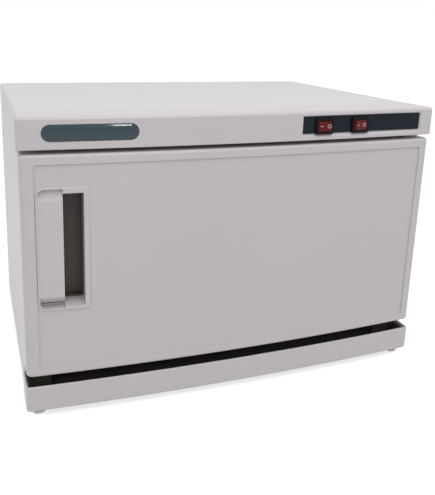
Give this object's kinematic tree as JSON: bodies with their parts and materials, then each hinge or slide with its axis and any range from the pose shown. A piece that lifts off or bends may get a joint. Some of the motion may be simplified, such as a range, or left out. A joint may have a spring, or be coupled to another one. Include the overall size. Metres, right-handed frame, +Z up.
{
  "type": "towel warmer cabinet",
  "caption": "Table-top hot towel cabinet: bowed front, side-hinged door with a recessed grip, rocker switches, pull-out drip tray, and a heated tank with a rack and a UV lamp.",
  "frame": {"origin": "on the table, under the middle of the cabinet's overall box", "axes": "+Z up, +X to the right seen from the front, the door faces -Y"},
  "size_m": [0.452, 0.3334, 0.3025],
  "materials": {
    "white_paint": "satin powder coat",
    "white_abs": "fine satin moulding",
    "grip_abs": "satin moulding",
    "dark_cup": "matte",
    "badge": "dark teal, gloss",
    "strip": "dark teal, satin",
    "switch_black": "gloss",
    "rocker_red": "translucent red, gloss",
    "zinc_steel": "zinc plated",
    "tank_aluminium": "satin anodised",
    "rack_chrome": "bright",
    "foot_rubber": "matte",
    "dark_paint": "satin powder coat",
    "dark_abs": "satin moulding",
    "gasket_rubber": "matte",
    "magnet_rubber": "matte",
    "white_nylon": "matte",
    "glass_wool": "fibrous",
    "foam": "closed cell foam",
    "brass": "bright",
    "heater_steel": "heat tinted",
    "lamp_glass": "clear quartz",
    "iron_core": "varnished laminations",
    "bakelite": "matte"
  },
  "bodies": {
    "cabinet": {"base_plate": "dark_paint", "bottom_wool": "glass_wool", "control_strip": "strip", "cord_gland": "switch_black", "fascia_screws": "zinc_steel", "foot_front_left": "foot_rubber", "foot_front_right": "foot_rubber", "foot_rear_left": "foot_rubber", "foot_rear_right": "foot_rubber", "foot_screws": "zinc_steel", "front_fascia": "white_abs", "front_frame": "dark_paint", "heat_spreader": "tank_aluminium", "heating_element": "heater_steel", "hinge_bracket_bottom": "white_paint", "hinge_bracket_top": "white_paint", "hinge_pin_bottom": "zinc_steel", "hinge_pin_top": "zinc_steel", "hinge_screws": "zinc_steel", "inner_tank": "tank_aluminium", "lamp_guard": "zinc_steel", "lamp_holder_left": "white_nylon", "lamp_holder_right": "white_nylon", "lower_deck": "zinc_steel", "name_plate": "badge", "outer_shell": "white_paint", "rack_rail_left": "tank_aluminium", "rack_rail_right": "tank_aluminium", "rear_panel": "white_paint", "rear_screws": "zinc_steel", "starter_socket": "white_nylon", "switch_housing_heat": "switch_black", "switch_housing_uv": "switch_black", "switch_terminals": "brass", "tank_wool": "glass_wool", "terminal_block": "bakelite", "thermal_fuse": "white_nylon", "thermostat": "zinc_steel", "tray_rail_left": "white_nylon", "tray_rail_right": "white_nylon", "upper_deck": "zinc_steel", "uv_ballast": "iron_core", "uv_lamp": "lamp_glass", "uv_starter": "tank_aluminium", "wire_rack": "rack_chrome"},
    "door": {"door_shell": "white_abs", "door_liner": "white_abs", "door_foam": "foam", "door_gasket": "gasket_rubber", "gasket_magnets": "magnet_rubber", "handle_insert": "grip_abs", "handle_cup": "dark_cup", "hinge_bush_top": "white_nylon", "hinge_bush_bottom": "white_nylon", "door_screws": "zinc_steel"},
    "tray": {"drip_tray": "dark_abs", "tray_front": "white_abs"},
    "rocker_heat": {"rocker_heat": "rocker_red"},
    "rocker_uv": {"rocker_uv": "rocker_red"}
  },
  "joints": [
    {"name": "door_hinge", "type": "hinge", "parent": "cabinet", "child": "door", "pos_m": [0.211, -0.1383, 0.1565], "axis": [0, 0, 1], "range_deg": [0, 110]},
    {"name": "tray_slide", "type": "slide", "parent": "cabinet", "child": "tray", "axis": [0, -1, 0], "range_m": [0, 0.22]},
    {"name": "rocker_heat_tip", "type": "hinge", "parent": "cabinet", "child": "rocker_heat", "pos_m": [0.08336, -0.16178, 0.2865], "axis": [0, 0, 1], "range_deg": [0, 18]},
    {"name": "rocker_uv_tip", "type": "hinge", "parent": "cabinet", "child": "rocker_uv", "pos_m": [0.12772, -0.15989, 0.2865], "axis": [0, 0, 1], "range_deg": [-18, 0]}
  ]
}
